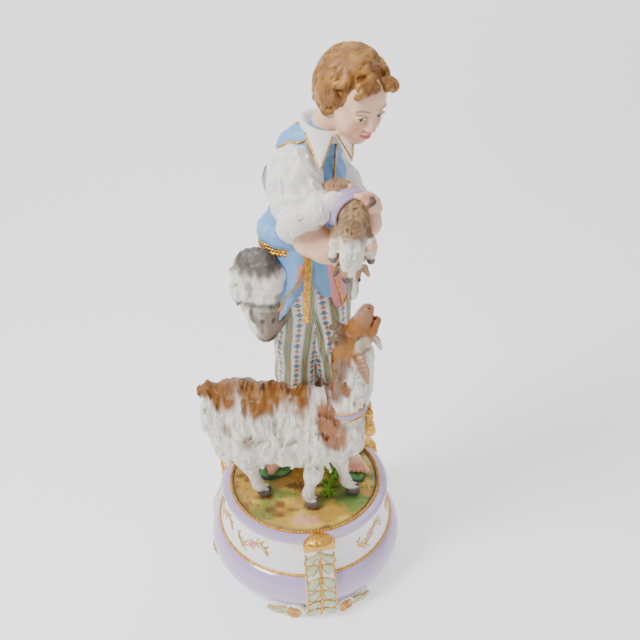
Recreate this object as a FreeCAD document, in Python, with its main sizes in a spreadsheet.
"""A large bisque porcelain figure: a shepherd boy with a kid and a nanny goat, on a round footed socle.

The fired figure stands by its own weight in the recess of a separate fired socle. Each node is one
moulded section as it leaves its plaster mould. Sections of one firing meet face to face at their
luting joints.

Frame: millimetres, +Z up, origin on the table at the centre of the socle, -Y towards the front.
Figure points are x, y and the height above the ground line, so they follow the plinth when it moves."""

import math
import os

import FreeCAD
import Part
import Sketcher

V = FreeCAD.Vector
UP = V(0, 0, 1)

doc = FreeCAD.newDocument("ShepherdFigure")
sheet = doc.addObject("Spreadsheet::Sheet", "Sizes")

# ---------------------------------------------------------------- driving dimensions

SOCLE = {
    "socle_radius": 101.5,  # widest point of the lower roll
    "rim_radius": 89.0,  # standing rim of the shell
    "waist_foot_radius": 91.5,
    "waist_radius": 85.0,
    "ring_radius": 87.0,
    "rim_height": 8.0,  # the shell's rim above the table
    "roll_height": 47.0,
    "waist_height": 41.0,
    "ring_height": 6.0,
    "ring_round": 2.5,
    "roll_step": 3.0,  # quirk between the roll and the waist
    "step_height": 2.0,
    "waist_hollow": 2.0,
    "wall": 6.0,
    "deck_thickness": 6.0,
    "vent_radius": 18.0,
    "recess_depth": 9.0,
    "plinth_radius": 75.5,
    "plinth_clearance": 0.5,
    "plinth_edge": 9.5,  # thickness of the painted ground at its edge
    "plinth_dome": 2.0,  # rise of the ground from its edge to the middle
    "plinth_round": 1.5,
    "bead_radius": 1.4,
    "waist_bead_radius": 1.5,
    "bracket_width": 31.0,
    "bracket_proud": 3.5,
    "foot_depth": 15.0,
    "cap_length": 15.0,
    "cap_width": 9.5,
    "cap_rise": 6.5,
    "volute_radius": 9.5,
    "volute_width": 11.0,
    "volute_angle": 15.5,
    "leaf_angle": 25.5,
    "leaf_length": 13.0,
    "leaf_height": 7.5,
    "leaf_lift": 3.0,
}
BRACKET_ANGLES = {"front": -80.0, "right": 40.0, "left": 160.0}

# Joint centres of the figures: x, y, height above the ground line.
POINTS = {
    "pad_right": (-28, 18, 0),
    "pad_left": (46, 17, 0),
    "hat": (50, 42, 0),
    "tuft": (28, -8, 0),
    "stump_base": (6, 42, 0),
    "stump_mid": (7, 41, 60),
    "stump_top": (9, 40, 128),
    "right_heel": (-8, 42, 10),
    "right_ball": (-30, 16, 9),
    "right_toe": (-43, 1, 7.5),
    "right_ankle": (-14, 35, 9),
    "right_calf": (-12, 30, 70),
    "right_shin_top": (-10, 22, 106),
    "left_heel": (37, 42, 10),
    "left_ball": (50, 13, 9),
    "left_toe": (58, -5, 7),
    "left_ankle": (40, 35, 9),
    "left_calf": (34, 26, 72),
    "left_shin_top": (33, 18, 116),
    "right_hem": (-8, 17, 92),
    "right_knee": (-7, 13, 130),
    "right_thigh": (-2, 14, 206),
    "right_band_foot": (-8, 17.5, 87),
    "right_band_head": (-8, 16.6, 96),
    "left_band_foot": (32.1, 18.6, 106),
    "left_band_head": (31.8, 17.4, 115),
    "left_hem": (32, 18, 111),
    "left_knee": (31, 14, 140),
    "left_thigh": (20, 17, 208),
    "seat_low": (8, 16, 196),
    "seat_mid": (5, 15, 226),
    "seat_top": (3, 14, 262),
    "waist": (3, 14, 254),
    "ribs": (1, 12, 300),
    "chest": (4, 10, 342),
    "yoke": (10, 9, 370),
    "collar_pit": (11, 9, 374),
    "nape": (17, 8, 380),
    "throat": (29, 3, 402),
    "head_mid": (43, -7, 413),
    "hair_mid": (41, -1, 420),
    "right_shoulder": (-8, -16, 354),
    "right_arm": (-4, -33, 330),
    "right_forearm_root": (0, -39, 313),
    "right_elbow": (4, -43, 306),
    "right_cuff": (5, -43, 309),
    "right_forearm": (18, -51, 302),
    "right_wrist": (34, -58, 299),
    "right_hand": (46, -60, 303),
    "left_shoulder": (18, 27, 352),
    "left_arm": (30, 26, 326),
    "left_forearm_root": (42, 17, 308),
    "left_elbow": (46, 12, 303),
    "left_cuff": (48, 7, 303),
    "left_forearm": (54, -14, 305),
    "left_wrist": (59, -33, 311),
    "left_hand": (61, -47, 325),
    "left_fingers": (55, -54, 347),
    "skirt_right": (-18, -8, 240),
    "skirt_left": (27, 2, 240),
    "sash": (1, 12, 282),
    "collar_low": (17, 8, 379),
    "collar_high": (23, 5, 393),
    "blanket_rear": (31, -38, 338),
    "blanket": (36, -48, 336),
    "blanket_front": (40, -57, 332),
    "sash_tail_top": (5, -20, 281),
    "sash_tail_end": (4, -30, 222),
    "bag_head": (-34, -12, 268),
    "bag": (-34, -12, 230),
    "bag_foot": (-34, -13, 194),
    "bag_flap": (-37, -19, 252),
    "kid_rump": (20, -22, 334),
    "kid_mid": (33, -42, 338),
    "kid_chest": (41, -60, 331),
    "kid_throat": (41, -70, 312),
    "kid_nape": (41, -73, 297),
    "kid_brow": (41, -75, 289),
    "kid_muzzle": (42, -80, 272),
    "kid_ear": (52, -72, 293),
    "kid_shoulder": (31, -57, 328),
    "kid_elbow": (28, -63, 319),
    "kid_hoof": (26, -71, 307),
    "kid_far_shoulder": (50, -58, 328),
    "kid_far_elbow": (54, -63, 318),
    "kid_far_hoof": (56, -67, 301),
    "goat_rump": (-80, -16, 104),
    "goat_hip": (-67, -19, 107),
    "goat_loin": (-36, -24, 102),
    "goat_girth": (2, -30, 99),
    "goat_brisket": (34, -33, 97),
    "goat_breast": (48, -34, 95),
    "goat_neck_root": (37, -33, 108),
    "goat_neck_mid": (46, -33, 134),
    "goat_neck_top": (48, -32, 166),
    "goat_poll": (41, -31, 192),
    "goat_cheek": (47, -32, 199),
    "goat_bridge": (53, -33, 215),
    "goat_nose": (58, -34, 229),
    "goat_lip_root": (61, -34, 206),
    "goat_lip": (65, -35, 223),
    "goat_ear_near_root": (47, -46, 190),
    "goat_ear_near_tip": (58, -56, 168),
    "goat_ear_far_root": (53, -18, 194),
    "goat_ear_far_tip": (73, -10, 172),
    "goat_horn_root": (38, -31, 205),
    "goat_horn_tip": (29, -30, 202),
    "goat_tail_root": (-78, -17, 128),
    "goat_tail_tip": (-90, -19, 134),
    "goat_udder": (-38, -22, 64),
    "goat_collar_low": (41, -33, 119),
    "goat_collar_high": (44, -33, 127),
    "tassel_head": (62, -40, 121),
    "tassel_end": (64, -42, 103),
    "hind_near_top": (-55, -34, 88),
    "hind_near_hock": (-54, -33, 46),
    "hind_near_fetlock": (-46, -28, 14),
    "hind_near_hoof": (-43, -27, -1),
    "hind_far_top": (-62, -4, 88),
    "hind_far_hock": (-70, 2, 46),
    "hind_far_fetlock": (-68, 11, 13),
    "hind_far_hoof": (-66, 12, -1),
    "fore_near_top": (12, -42, 78),
    "fore_near_knee": (9, -44, 42),
    "fore_near_fetlock": (4, -43, 14),
    "fore_near_hoof": (6, -44, -1),
    "fore_far_top": (34, -23, 76),
    "fore_far_knee": (36, -22, 42),
    "fore_far_fetlock": (43, -23, 13),
    "fore_far_hoof": (48, -25, -1),
}

SIZES = {
    "dome_share": 0.75,  # share of the plinth's radius over which the ground is level
    "key_share": 0.65,  # share of the wall that a bracket is keyed into at the waist
    "pad_length": 27.0,
    "pad_width": 18.0,
    "pad_height": 5.0,
    "hat_radius": 13.0,
    "hat_height": 5.0,
    "hat_cord_radius": 1.7,
    "tuft_radius": 9.0,
    "tuft_height": 7.0,
    "stump_base_radius": 19.0,
    "stump_mid_radius": 12.0,
    "stump_top_radius": 9.0,
    "foot_heel_radius": 8.0,
    "foot_ball_radius": 9.5,
    "foot_toe_radius": 6.0,
    "ankle_radius": 7.5,
    "calf_radius": 12.5,
    "shin_top_radius": 12.0,
    "hem_radius": 18.5,
    "left_hem_radius": 15.5,
    "knee_radius": 20.5,
    "left_knee_radius": 18.5,
    "thigh_radius": 23.0,
    "ribbon_radius": 21.0,
    "left_ribbon_radius": 18.0,
    "seat_width": 40.0,
    "seat_depth": 27.0,
    "waist_width": 33.0,
    "waist_depth": 25.5,
    "tuck_width": 29.0,  # waistcoat where it is tucked into the breeches
    "tuck_depth": 22.0,
    "ribs_width": 36.0,
    "ribs_depth": 26.5,
    "chest_width": 40.0,
    "chest_depth": 28.0,
    "yoke_width": 33.0,
    "yoke_depth": 22.0,
    "collar_width": 17.0,
    "collar_depth": 13.0,
    "collar_spread": 22.0,
    "collar_throat": 15.5,
    "neck_radius": 13.0,
    "head_width": 22.5,
    "head_depth": 28.0,
    "head_height": 33.5,
    "hair_width": 27.0,
    "hair_depth": 31.0,
    "hair_height": 29.0,
    "shoulder_radius": 22.0,
    "arm_radius": 23.0,
    "cuff_radius": 21.0,
    "cuff_roll": 6.5,
    "forearm_radius": 13.5,
    "wrist_radius": 9.0,
    "hand_radius": 9.5,
    "finger_radius": 6.5,
    "skirt_half_height": 41.0,
    "skirt_width": 24.0,
    "skirt_depth": 18.0,
    "sash_width": 39.5,
    "sash_depth": 30.5,
    "sash_height": 15.0,
    "sash_tail_radius": 3.4,
    "bag_length": 26.0,
    "bag_depth": 16.5,
    "bag_foot_length": 15.0,
    "bag_foot_depth": 10.0,
    "flap_length": 24.0,
    "flap_height": 31.0,
    "flap_depth": 14.0,
    "kid_rump_radius": 14.0,
    "kid_mid_radius": 16.5,
    "kid_chest_radius": 14.0,
    "kid_neck_radius": 8.0,
    "kid_head_radius": 10.5,
    "kid_muzzle_radius": 5.5,
    "kid_ear_length": 9.0,
    "kid_ear_width": 4.0,
    "kid_leg_radius": 4.6,
    "blanket_radius": 19.5,
    "goat_rump_radius": 15.0,
    "goat_hip_height": 35.0,
    "goat_hip_width": 24.0,
    "goat_loin_height": 36.0,
    "goat_loin_width": 26.5,
    "goat_girth_height": 35.0,
    "goat_girth_width": 25.0,
    "goat_brisket_height": 34.0,
    "goat_brisket_width": 23.0,
    "goat_breast_radius": 12.0,
    "goat_neck_radius": 16.0,
    "goat_neck_top_radius": 14.0,
    "goat_skull_radius": 13.0,
    "goat_cheek_radius": 15.5,
    "goat_bridge_radius": 9.5,
    "goat_nose_radius": 6.5,
    "goat_lip_radius": 4.2,
    "goat_ear_radius": 5.0,
    "goat_ear_tip_radius": 2.2,
    "horn_root_radius": 4.4,
    "horn_tip_radius": 2.2,
    "tail_root_radius": 6.5,
    "tail_tip_radius": 3.5,
    "udder_radius": 13.0,
    "goat_collar_radius": 18.8,
    "tassel_head_radius": 3.5,
    "tassel_radius": 6.0,
    "haunch_radius": 16.0,
    "hock_radius": 7.0,
    "shoulder_leg_radius": 13.0,
    "goat_knee_radius": 7.0,
    "fetlock_radius": 5.4,
    "hoof_radius": 6.6,
}

row = 0
for table in (SOCLE, SIZES):
    for alias, value in table.items():
        row += 1
        sheet.set(f"A{row}", alias)
        sheet.set(f"B{row}", str(value))
        sheet.setAlias(f"B{row}", alias)
for point, coordinates in POINTS.items():
    for axis_name, value in zip("xyz", coordinates):
        row += 1
        sheet.set(f"A{row}", f"{point}_{axis_name}")
        sheet.set(f"B{row}", str(value))
        sheet.setAlias(f"B{row}", f"{point}_{axis_name}")
doc.recompute()


def size(alias):
    """The value of a cell of the sheet, in millimetres or degrees."""
    return float(getattr(sheet, alias))


# Heights that follow from the driving ones.
seat_z = ("(Sizes.rim_height + Sizes.roll_height + Sizes.waist_height + Sizes.ring_height"
          " - Sizes.recess_depth)")
ground_z = f"({seat_z} + Sizes.plinth_edge + Sizes.plinth_dome)"
ground_level = float(sheet.evalExpression(ground_z))

made = {}  # finished sub-parts by node name
raw = {}  # the same sections before they are trimmed to their neighbours


def keep(obj, name):
    """Registers a finished sub-part under its node name."""
    obj.Label = name
    made[name] = obj
    return obj


def bind(obj, **cells):
    """Binds properties to expressions. A double underscore in the name stands for a dot."""
    for prop, expression in cells.items():
        obj.setExpression(prop.replace("__", "."), expression)
    return obj


# ---------------------------------------------------------------- building blocks


def cell(alias):
    return f"Sizes.{alias}"


def at(point):
    """A named figure point as a vector in the model frame."""
    return V(size(point + "_x"), size(point + "_y"), size(point + "_z") + ground_level)


def bind_to_point(obj, point):
    """Ties an object's position to a named figure point."""
    return bind(
        obj,
        Placement__Base__x=cell(point + "_x"),
        Placement__Base__y=cell(point + "_y"),
        Placement__Base__z=f"Sizes.{point}_z + {ground_z}",
    )


def heading(degrees):
    return V(math.cos(math.radians(degrees)), math.sin(math.radians(degrees)), 0)


def section(name, point, half_long, half_short, normal, long_axis):
    """One elliptical section of a loft at a named point, its long axis turned towards long_axis."""
    ring = doc.addObject("Part::Ellipse", name)
    bind(ring, MajorRadius=half_long, MinorRadius=half_short)
    ring.Placement = FreeCAD.Placement(at(point), turned(normal, long_axis))
    return bind_to_point(ring, point)


def turned(normal, long_axis):
    """The rotation that takes Z to normal and X to long_axis, made square to it."""
    n = V(normal)
    n.normalize()
    x = V(long_axis) - n * n.dot(long_axis)
    if x.Length < 1e-6:
        x = n.cross(V(0, 1, 0))
    x.normalize()
    return FreeCAD.Rotation(x, n.cross(x), n, "ZXY")


def loft(name, stations, long_axis=None):
    """A solid lofted through ellipses: stations are (point, half long, half short), or (point, radius)."""
    spots = [at(station[0]) for station in stations]
    run = spots[-1] - spots[0]
    if long_axis is None:
        # The seam lies square to the run, so that the loft isn't twisted.
        long_axis = V(1, 0, 0) if abs(run.z) > run.Length / 2 else UP
    rings = []
    for i, station in enumerate(stations):
        before = spots[max(i - 1, 0)]
        after = spots[min(i + 1, len(spots) - 1)]
        half_long = cell(station[1])
        half_short = cell(station[-1])
        ring = section(f"{name}_ring_{i}", station[0], half_long, half_short, after - before, long_axis)
        rings.append(ring)
    solid = doc.addObject("Part::Loft", name + "_loft")
    solid.Sections = rings
    solid.Solid = True
    return solid


def ellipsoid(name, point, along, across, upright, facing=0.0, pitch=0.0):
    """An ellipsoid at a point: half sizes along its facing, across it and upright, nose pitched down."""
    blob = doc.addObject("Part::Ellipsoid", name)
    # A Part::Ellipsoid has Radius1 on Z, Radius2 on X and Radius3 on Y.
    bind(blob, Radius1=cell(upright), Radius2=cell(along), Radius3=cell(across))
    turn = FreeCAD.Rotation(UP, facing).multiply(FreeCAD.Rotation(V(0, 1, 0), pitch))
    blob.Placement = FreeCAD.Placement(at(point), turn)
    return bind_to_point(blob, point)


def fuse(name, shapes):
    whole = doc.addObject("Part::MultiFuse", name + "_fuse")
    whole.Shapes = shapes
    return whole


def trim(obj, name, *neighbours):
    """Registers a section, cut back to the neighbours that it is luted to."""
    raw[name] = obj
    for i, neighbour in enumerate(neighbours):
        cut = doc.addObject("Part::Cut", f"{name}_trim_{i}")
        cut.Base = obj
        cut.Tool = raw[neighbour]
        obj = cut
    return keep(obj, name)


def drawn_body(name, outline):
    """A PartDesign body with a closed sketch on its XZ plane.

    Each vertex is (across, up), or (across, up, radius, side) where the edge to the next vertex is an
    arc that bulges to the right of the way it runs for side 1 and to the left for side -1."""
    body = doc.addObject("PartDesign::Body", name)
    sketch = body.newObject("Sketcher::SketchObject", name + "_sketch")
    planes = {feature.Role: feature for feature in body.Origin.OriginFeatures}
    sketch.AttachmentSupport = (planes["XZ_Plane"], [""])
    sketch.MapMode = "FlatFace"
    corners = [V(value_of(vertex[0]), value_of(vertex[1]), 0) for vertex in outline]
    ends = []
    for i, vertex in enumerate(outline):
        start = corners[i]
        end = corners[(i + 1) % len(corners)]
        if len(vertex) == 2:
            sketch.addGeometry(Part.LineSegment(start, end), False)
            ends.append((1, 2))
        else:
            middle = arc_middle(start, end, value_of(vertex[2]), vertex[3])
            sketch.addGeometry(Part.Arc(start, middle, end), False)
            # A sketch keeps every arc anticlockwise, so one that bulges left has its ends swapped.
            ends.append((1, 2) if vertex[3] > 0 else (2, 1))
    for i in range(len(outline)):
        following = (i + 1) % len(outline)
        sketch.addConstraint(Sketcher.Constraint("Coincident", i, ends[i][1], following, ends[following][0]))
    for i, vertex in enumerate(outline):
        across = sketch.addConstraint(Sketcher.Constraint("DistanceX", -1, 1, i, ends[i][0], corners[i].x))
        upward = sketch.addConstraint(Sketcher.Constraint("DistanceY", -1, 1, i, ends[i][0], corners[i].y))
        sketch.setExpression(f"Constraints[{across}]", vertex[0])
        sketch.setExpression(f"Constraints[{upward}]", vertex[1])
        if len(vertex) > 2:
            bend = sketch.addConstraint(Sketcher.Constraint("Radius", i, value_of(vertex[2])))
            sketch.setExpression(f"Constraints[{bend}]", vertex[2])
    return body, sketch


def value_of(expression):
    """The value of an expression over the sheet, for a sketch's first drawing."""
    return float(sheet.evalExpression(expression))


def arc_middle(start, end, radius, side):
    """The middle of the shorter arc from start to end, right of the way it runs where side is 1."""
    chord = end - start
    right = V(chord.y, -chord.x, 0)
    right.normalize()
    rise = radius - math.sqrt(radius**2 - chord.Length**2 / 4)
    return (start + end) * 0.5 + right * (rise * side)


def arc_radius(chord_across, chord_up, rise):
    """The expression of the radius of an arc over a chord with a given rise."""
    return f"((({chord_across}) ^ 2 + ({chord_up}) ^ 2) / (8 * ({rise})) + ({rise}) / 2)"


def turn_body(name, outline):
    """A body revolved about Z from an outline of radii and heights."""
    body, sketch = drawn_body(name, outline)
    turn = body.newObject("PartDesign::Revolution", name + "_turn")
    turn.Profile = sketch
    turn.ReferenceAxis = (sketch, ["V_Axis"])
    turn.Angle = 360.0
    body.Tip = turn
    return body


def pad_body(name, outline, width):
    """A body padded both ways from an outline on the XZ plane."""
    body, sketch = drawn_body(name, outline)
    pad = body.newObject("PartDesign::Pad", name + "_pad")
    pad.Profile = sketch
    pad.Midplane = True
    pad.setExpression("Length", width)
    body.Tip = pad
    return body


# ---------------------------------------------------------------- socle

AXIS = "0 * Sizes.wall"
rim_z = "Sizes.rim_height"
roll_z = "(Sizes.rim_height + Sizes.roll_height)"
waist_z = f"({roll_z} + Sizes.waist_height)"
ring_z = f"({waist_z} + Sizes.ring_height)"
recess_radius = "(Sizes.plinth_radius + Sizes.plinth_clearance)"


def socle_shell():
    """The hollow cast shell: lower roll, waisted band, upper ring and the recess for the plinth."""
    step = "(Sizes.waist_foot_radius + Sizes.roll_step)"
    roll_rise = f"Sizes.socle_radius - (Sizes.rim_radius + {step}) / 2"
    roll_bend = arc_radius(f"{step} - Sizes.rim_radius", "Sizes.roll_height - Sizes.step_height", roll_rise)
    waist_bend = arc_radius("Sizes.waist_foot_radius - Sizes.waist_radius", "Sizes.waist_height",
                            "Sizes.waist_hollow")
    outline = [
        ("Sizes.rim_radius - Sizes.wall", rim_z),
        ("Sizes.rim_radius", rim_z, roll_bend, 1),
        (step, f"{roll_z} - Sizes.step_height"),
        ("Sizes.waist_foot_radius", roll_z, waist_bend, -1),
        ("Sizes.waist_radius", waist_z),
        ("Sizes.ring_radius", waist_z),
        ("Sizes.ring_radius", f"{ring_z} - Sizes.ring_round"),
        ("Sizes.ring_radius - Sizes.ring_round", ring_z),
        (recess_radius, ring_z),
        (recess_radius, seat_z),
        ("Sizes.vent_radius", seat_z),
        ("Sizes.vent_radius", f"{seat_z} - Sizes.deck_thickness"),
        ("Sizes.waist_radius - Sizes.wall", f"{seat_z} - Sizes.deck_thickness"),
        ("Sizes.waist_foot_radius - Sizes.wall", roll_z),
        ("Sizes.socle_radius - Sizes.wall", f"{rim_z} + Sizes.roll_height / 2"),
    ]
    trim(turn_body("socle_shell", outline), "socle_shell")


def bracket_outline():
    """A console bracket from its side: its face bows out over the roll, its back is keyed into the shell."""
    foot_face = "(Sizes.rim_radius - Sizes.wall + Sizes.foot_depth)"
    neck_face = "(Sizes.waist_foot_radius + Sizes.bracket_proud)"
    neck_z = f"({roll_z} + Sizes.bracket_proud * 2)"
    head_face = "(Sizes.ring_radius + Sizes.bracket_proud)"
    head_z = f"({waist_z} + Sizes.ring_height / 3)"
    bow = f"Sizes.socle_radius + Sizes.bracket_proud - ({foot_face} + {neck_face}) / 2"
    neck_bend = arc_radius(f"{neck_face} - {head_face}", f"{head_z} - {neck_z}", "Sizes.waist_hollow")
    return [
        ("Sizes.rim_radius - Sizes.wall", "0 * Sizes.wall"),
        (foot_face, "0 * Sizes.wall", arc_radius(f"{neck_face} - {foot_face}", neck_z, bow), 1),
        (neck_face, neck_z, neck_bend, -1),
        (head_face, head_z),
        ("Sizes.waist_radius - Sizes.wall / 3", head_z),
        ("(Sizes.waist_radius + Sizes.waist_foot_radius) / 2 - Sizes.wall * Sizes.key_share",
         f"{roll_z} + Sizes.waist_height / 2"),
        ("Sizes.waist_foot_radius - Sizes.wall / 2", roll_z),
        ("Sizes.socle_radius - Sizes.wall / 2", f"{rim_z} + Sizes.roll_height / 2"),
        ("Sizes.rim_radius - Sizes.wall / 3", rim_z),
        ("Sizes.rim_radius - Sizes.wall", rim_z),
    ]


def around(obj, degrees):
    """Turns a finished section about the socle's axis to its place."""
    obj.Placement = FreeCAD.Placement(V(), FreeCAD.Rotation(UP, degrees))
    return obj


def on_rim(obj, degrees, height, own_turn, outward):
    """Sets a foot ornament on the standing rim, turned with it."""
    reach = f"(Sizes.rim_radius + Sizes.wall / 6 + {outward})"
    turn = size(degrees[1:]) * (1 if degrees[0] == "+" else -1)
    obj.Placement = FreeCAD.Placement(V(), FreeCAD.Rotation(UP, turn).multiply(own_turn))
    return bind(
        obj,
        Placement__Base__x=f"{reach} * cos(Sizes.{degrees[1:]} * 1 deg)",
        Placement__Base__y=f"{degrees[0]}{reach} * sin(Sizes.{degrees[1:]} * 1 deg)",
        Placement__Base__z=height,
    )


def socle_bracket(side, degrees):
    """An acanthus bracket with its gilt cap, and the pair of scrolls at its foot."""
    name = f"acanthus_bracket_{side}"
    console = pad_body(name + "_console", bracket_outline(), cell("bracket_width"))
    dome = doc.addObject("Part::Ellipsoid", name + "_cap")
    bind(dome, Radius1=cell("cap_rise"), Radius2=cell("cap_width"), Radius3=cell("cap_length"),
         Placement__Base__x=cell("ring_radius"), Placement__Base__z=f"{ring_z} - Sizes.cap_rise / 2")
    trim(around(fuse(name, [console, dome]), degrees), name, "socle_shell")

    name = f"scroll_pair_{side}"
    halves = []
    for sign in "+-":
        volute = doc.addObject("Part::Cylinder", f"{name}_volute")
        bind(volute, Radius=cell("volute_radius"), Height=cell("volute_width"))
        facing_out = FreeCAD.Rotation(V(0, 1, 0), 90)
        halves.append(on_rim(volute, sign + "volute_angle", cell("volute_radius"), facing_out, "0"))
        leaf = doc.addObject("Part::Ellipsoid", f"{name}_leaf")
        bind(leaf, Radius1=cell("leaf_height"), Radius2="Sizes.volute_width / 2", Radius3=cell("leaf_length"))
        level = "Sizes.leaf_height + Sizes.leaf_lift"
        halves.append(on_rim(leaf, sign + "leaf_angle", level, FreeCAD.Rotation(), "Sizes.volute_width / 2"))
    trim(around(fuse(name, halves), degrees), name, "socle_shell", f"acanthus_bracket_{side}")


def gilt_ring(name, ring_radius, ring_level, thickness):
    """A gilt beaded moulding, as the plain ring that its beads stand on."""
    ring = doc.addObject("Part::Torus", name + "_ring")
    bind(ring, Radius1=ring_radius, Radius2=thickness, Placement__Base__z=ring_level)
    trim(ring, name, "socle_shell", *(f"acanthus_bracket_{side}" for side in BRACKET_ANGLES))


# ---------------------------------------------------------------- painted ground


def ground():
    """The figure's own plinth: a disc that drops into the socle's recess, its top rising ground."""
    edge_z = f"({seat_z} + Sizes.plinth_edge)"
    outline = [
        (AXIS, seat_z),
        ("Sizes.plinth_radius", seat_z),
        ("Sizes.plinth_radius", f"{edge_z} - Sizes.plinth_round"),
        ("Sizes.plinth_radius - Sizes.plinth_round", edge_z),
        ("Sizes.plinth_radius * Sizes.dome_share", ground_z),
        (AXIS, ground_z),
    ]
    trim(turn_body("ground_plinth", outline), "ground_plinth")
    trim(ellipsoid("pad_right_stone", "pad_right", "pad_length", "pad_width", "pad_height", 230.0),
         "mossy_stone_right", "ground_plinth")
    trim(ellipsoid("pad_left_stone", "pad_left", "pad_length", "pad_width", "pad_height", 292.0),
         "mossy_stone_left", "ground_plinth", "mossy_stone_right")
    crown = doc.addObject("Part::Cylinder", "hat_crown")
    bind(crown, Radius=cell("hat_radius"), Height=cell("hat_height"))
    cord = doc.addObject("Part::Torus", "hat_cord")
    bind(cord, Radius1="Sizes.hat_radius - Sizes.hat_cord_radius / 2", Radius2=cell("hat_cord_radius"))
    bind_to_point(crown, "hat")
    bind_to_point(cord, "hat")
    bind(cord, Placement__Base__z=f"Sizes.hat_z + {ground_z} + Sizes.hat_height - Sizes.hat_cord_radius / 2")
    trim(fuse("hat", [crown, cord]), "hat_on_ground", "ground_plinth", "mossy_stone_left")
    trim(ellipsoid("tuft", "tuft", "tuft_radius", "tuft_radius", "tuft_height"), "leaf_tuft", "ground_plinth",
         "mossy_stone_left")
    stump = loft("stump", [("stump_base", "stump_base_radius"), ("stump_mid", "stump_mid_radius"),
                           ("stump_top", "stump_top_radius")])
    trim(stump, "tree_stump", "ground_plinth", "mossy_stone_left", "mossy_stone_right", "hat_on_ground")


# ---------------------------------------------------------------- shepherd


def shepherd_legs():
    for side in ("right", "left"):
        foot = loft(f"{side}_foot", [(f"{side}_heel", "foot_heel_radius"),
                                     (f"{side}_ball", "foot_ball_radius"),
                                     (f"{side}_toe", "foot_toe_radius")])
        trim(foot, f"{side}_foot", "ground_plinth", f"mossy_stone_{side}", "hat_on_ground", "tree_stump")
        shin = loft(f"{side}_shin", [(f"{side}_ankle", "ankle_radius"), (f"{side}_calf", "calf_radius"),
                                     (f"{side}_shin_top", "shin_top_radius")])
        trim(shin, f"{side}_shin", f"mossy_stone_{side}", "tree_stump", f"{side}_foot")
    seat = loft("seat", [("seat_low", "seat_width", "seat_depth"), ("seat_mid", "seat_width", "seat_depth"),
                         ("seat_top", "waist_width", "waist_depth")], heading(25))
    trim(seat, "breeches_seat")
    near = ["tree_stump", "right_shin", "left_shin", "breeches_seat"]
    for side, hem, knee in (("right", "hem_radius", "knee_radius"),
                            ("left", "left_hem_radius", "left_knee_radius")):
        leg = loft(f"{side}_breeches", [(f"{side}_hem", hem), (f"{side}_knee", knee),
                                        (f"{side}_thigh", "thigh_radius")])
        trim(leg, f"breeches_{side}_leg", *near)
        near.append(f"breeches_{side}_leg")
    for side, ribbon in (("right", "ribbon_radius"), ("left", "left_ribbon_radius")):
        band = loft(f"{side}_band", [(f"{side}_band_foot", ribbon), (f"{side}_band_head", ribbon)])
        trim(band, f"{side}_knee_band", "tree_stump", f"{side}_shin", f"breeches_{side}_leg")


def shepherd_trunk():
    trunk = loft("trunk", [("waist", "tuck_width", "tuck_depth"), ("ribs", "ribs_width", "ribs_depth"),
                           ("chest", "chest_width", "chest_depth"), ("yoke", "yoke_width", "yoke_depth"),
                           ("nape", "collar_width", "collar_depth")], heading(45))
    trim(trunk, "waistcoat", "breeches_seat")
    below = ["waistcoat", "breeches_seat", "breeches_right_leg", "breeches_left_leg"]
    for side, facing in (("right", 215.0), ("left", 335.0)):
        skirt = ellipsoid(f"skirt_{side}", f"skirt_{side}", "skirt_width", "skirt_depth",
                          "skirt_half_height", facing)
        trim(skirt, f"waistcoat_skirt_{side}", *below)
        below.append(f"waistcoat_skirt_{side}")
    neck = loft("neck", [("collar_pit", "neck_radius"), ("throat", "neck_radius")])
    trim(neck, "neck", "waistcoat")
    collar = loft("collar", [("collar_low", "collar_spread"), ("collar_high", "collar_throat")])
    trim(collar, "shirt_collar", "waistcoat", "neck")
    trim(ellipsoid("sash_roll", "sash", "sash_width", "sash_depth", "sash_height", 45.0), "sash", *below)


def shepherd_head():
    trim(ellipsoid("head_block", "head_mid", "head_depth", "head_width", "head_height", -50.0, 26.0),
         "head", "neck", "shirt_collar", "waistcoat")
    trim(ellipsoid("hair_block", "hair_mid", "hair_depth", "hair_width", "hair_height", -50.0, 10.0),
         "hair", "head", "neck", "shirt_collar", "waistcoat")


def shepherd_arms():
    trunk = ["waistcoat", "sash", "waistcoat_skirt_right", "waistcoat_skirt_left"]
    for side in ("right", "left"):
        sleeve = loft(f"{side}_sleeve", [(f"{side}_shoulder", "shoulder_radius"),
                                         (f"{side}_arm", "arm_radius"),
                                         (f"{side}_elbow", "cuff_radius")])
        trim(sleeve, f"{side}_sleeve", *trunk)
        forearm = loft(f"{side}_forearm", [(f"{side}_forearm_root", "forearm_radius"),
                                           (f"{side}_forearm", "forearm_radius"),
                                           (f"{side}_wrist", "wrist_radius")])
        trim(forearm, f"{side}_forearm", *trunk, f"{side}_sleeve")
        cuff = doc.addObject("Part::Torus", f"{side}_cuff_ring")
        bind(cuff, Radius1="Sizes.cuff_radius - Sizes.cuff_roll / 2", Radius2=cell("cuff_roll"))
        reach = at(f"{side}_forearm") - at(f"{side}_elbow")
        cuff.Placement = FreeCAD.Placement(at(f"{side}_cuff"), turned(reach, UP))
        bind_to_point(cuff, f"{side}_cuff")
        trim(cuff, f"{side}_cuff", *trunk, f"{side}_sleeve", f"{side}_forearm")
    hand = loft("right_hand", [("right_wrist", "wrist_radius"), ("right_hand", "hand_radius")])
    trim(hand, "right_hand", "right_forearm")
    hand = loft("left_hand", [("left_wrist", "wrist_radius"), ("left_hand", "hand_radius"),
                              ("left_fingers", "finger_radius")])
    trim(hand, "left_hand", "left_forearm", "right_hand")


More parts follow.
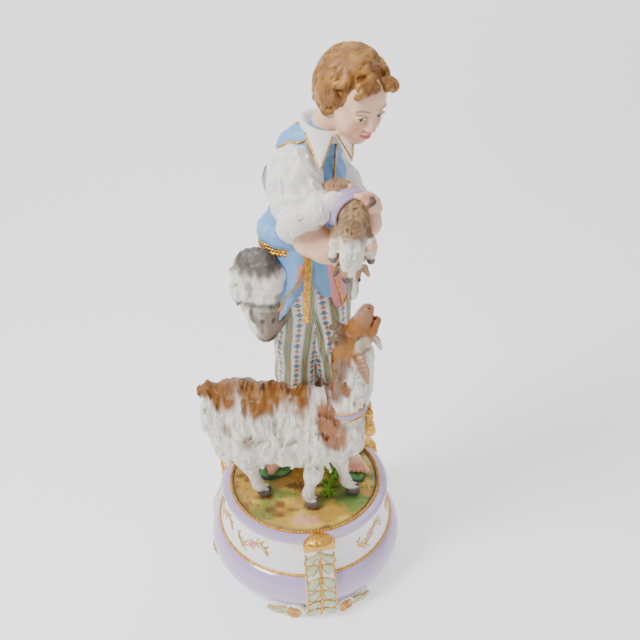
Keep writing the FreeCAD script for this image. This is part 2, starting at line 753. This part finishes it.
def game_bag():
    near = ["waistcoat", "waistcoat_skirt_right", "sash", "breeches_seat", "breeches_right_leg",
            "right_sleeve", "right_cuff"]
    bag = loft("bag", [("bag_head", "bag_length", "bag_depth"), ("bag", "bag_length", "bag_depth"),
                       ("bag_foot", "bag_foot_length", "bag_foot_depth")], heading(37))
    trim(bag, "bag_body", *near)
    near.append("bag_body")
    trim(ellipsoid("flap", "bag_flap", "flap_length", "flap_depth", "flap_height", 217.0), "bag_flap", *near)
    tail = loft("sash_tail", [("sash_tail_top", "sash_tail_radius"), ("sash_tail_end", "sash_tail_radius")])
    trim(tail, "sash_tail", *near, "bag_flap", "waistcoat_skirt_left", "right_forearm")


# ---------------------------------------------------------------- kid


def kid():
    arms = ["right_sleeve", "left_sleeve", "right_cuff", "left_cuff", "right_forearm",
            "left_forearm", "right_hand", "left_hand"]
    body = loft("kid_body", [("kid_rump", "kid_rump_radius"), ("kid_mid", "kid_mid_radius"),
                             ("kid_chest", "kid_chest_radius")])
    trim(body, "kid_body", "waistcoat", *arms)
    neck = loft("kid_neck", [("kid_chest", "kid_neck_radius"), ("kid_throat", "kid_neck_radius"),
                             ("kid_nape", "kid_neck_radius")])
    skull = loft("kid_skull", [("kid_nape", "kid_neck_radius"), ("kid_brow", "kid_head_radius"),
                               ("kid_muzzle", "kid_muzzle_radius")])
    ears = ellipsoid("kid_ear", "kid_ear", "kid_ear_length", "kid_ear_width", "kid_ear_width", -10.0)
    trim(fuse("kid_head", [neck, skull, ears]), "kid_head", "kid_body", "right_hand",
         "right_forearm", "left_hand")
    legs = [loft(f"kid_{which}leg", [(f"kid_{which}{joint}", "kid_leg_radius")
                                     for joint in ("shoulder", "elbow", "hoof")]) for which in ("", "far_")]
    trim(fuse("kid_legs", legs), "kid_forelegs", *arms, "kid_body", "kid_head")
    blanket = loft("blanket_fold", [("blanket_rear", "blanket_radius"), ("blanket", "blanket_radius"),
                                    ("blanket_front", "blanket_radius")])
    trim(blanket, "kid_blanket", "waistcoat", *arms, "kid_body", "kid_head", "kid_forelegs")


# ---------------------------------------------------------------- nanny goat

GOAT_LEGS = {
    "hind_near": ("haunch_radius", "hock_radius", "hock"),
    "hind_far": ("haunch_radius", "hock_radius", "hock"),
    "fore_near": ("shoulder_leg_radius", "goat_knee_radius", "knee"),
    "fore_far": ("shoulder_leg_radius", "goat_knee_radius", "knee"),
}


def goat():
    trunk = loft("goat_trunk", [("goat_rump", "goat_rump_radius"),
                                ("goat_hip", "goat_hip_height", "goat_hip_width"),
                                ("goat_loin", "goat_loin_height", "goat_loin_width"),
                                ("goat_girth", "goat_girth_height", "goat_girth_width"),
                                ("goat_brisket", "goat_brisket_height", "goat_brisket_width"),
                                ("goat_breast", "goat_breast_radius")], UP)
    udder = ellipsoid("udder", "goat_udder", "udder_radius", "udder_radius", "udder_radius")
    trim(fuse("goat_trunk", [trunk, udder]), "goat_body", "breeches_right_leg", "breeches_left_leg",
         "right_knee_band", "left_knee_band", "right_shin", "left_shin")
    for name, (top_radius, joint_radius, joint) in GOAT_LEGS.items():
        limb = loft(name, [(f"{name}_top", top_radius), (f"{name}_{joint}", joint_radius),
                           (f"{name}_fetlock", "fetlock_radius"), (f"{name}_hoof", "hoof_radius")])
        trim(limb, f"goat_{name}_leg", "goat_body", "ground_plinth", "mossy_stone_right", "leaf_tuft")
    neck = loft("goat_neck", [("goat_neck_root", "goat_neck_radius"),
                              ("goat_neck_mid", "goat_neck_radius"),
                              ("goat_neck_top", "goat_neck_top_radius"),
                              ("goat_poll", "goat_neck_top_radius")])
    trim(neck, "goat_neck", "goat_body")
    skull = loft("goat_skull", [("goat_poll", "goat_skull_radius"), ("goat_cheek", "goat_cheek_radius"),
                                ("goat_bridge", "goat_bridge_radius"), ("goat_nose", "goat_nose_radius")])
    jaw = loft("goat_jaw", [("goat_cheek", "goat_bridge_radius"), ("goat_lip_root", "goat_nose_radius"),
                            ("goat_lip", "goat_lip_radius")])
    horns = loft("goat_horns", [("goat_horn_root", "horn_root_radius"), ("goat_horn_tip", "horn_tip_radius")])
    trim(fuse("goat_head", [skull, jaw, horns]), "goat_head", "goat_neck", "waistcoat_skirt_left")
    ears = [loft(f"goat_ear_{side}", [(f"goat_ear_{side}_root", "goat_ear_radius"),
                                      (f"goat_ear_{side}_tip", "goat_ear_tip_radius")])
            for side in ("near", "far")]
    trim(fuse("goat_ears", ears), "goat_ears", "goat_neck", "goat_head")
    tail = loft("goat_tail", [("goat_tail_root", "tail_root_radius"), ("goat_tail_tip", "tail_tip_radius")])
    trim(tail, "goat_tail", "goat_body")
    collar = loft("goat_collar", [("goat_collar_low", "goat_collar_radius"),
                                  ("goat_collar_high", "goat_collar_radius")])
    trim(collar, "goat_collar", "goat_neck", "goat_body")
    tassel = loft("tassel", [("tassel_head", "tassel_head_radius"), ("tassel_end", "tassel_radius")])
    trim(tassel, "goat_tassel", "goat_collar", "goat_body", "goat_neck")


# ---------------------------------------------------------------- the whole part

socle_shell()
for side_name, angle in BRACKET_ANGLES.items():
    socle_bracket(side_name, angle)
gilt_ring("bead_border", f"{recess_radius} + Sizes.bead_radius * 1.3", ring_z, cell("bead_radius"))
gilt_ring("waist_bead_border", cell("waist_foot_radius"), roll_z, cell("waist_bead_radius"))
ground()
shepherd_legs()
shepherd_trunk()
shepherd_head()
shepherd_arms()
game_bag()
kid()
goat()
doc.recompute()

for obj in doc.Objects:
    if "Invalid" in obj.State or "Error" in obj.State:
        raise RuntimeError(f"{obj.Name}: {obj.State}")
for node_name, part in made.items():
    if part.Shape.isNull() or not part.Shape.isValid() or not part.Shape.Solids:
        raise RuntimeError(f"{node_name} has no valid solid")

os.makedirs("parts", exist_ok=True)
for node_name, part in made.items():
    part.Shape.exportStep(f"parts/{node_name}.step")
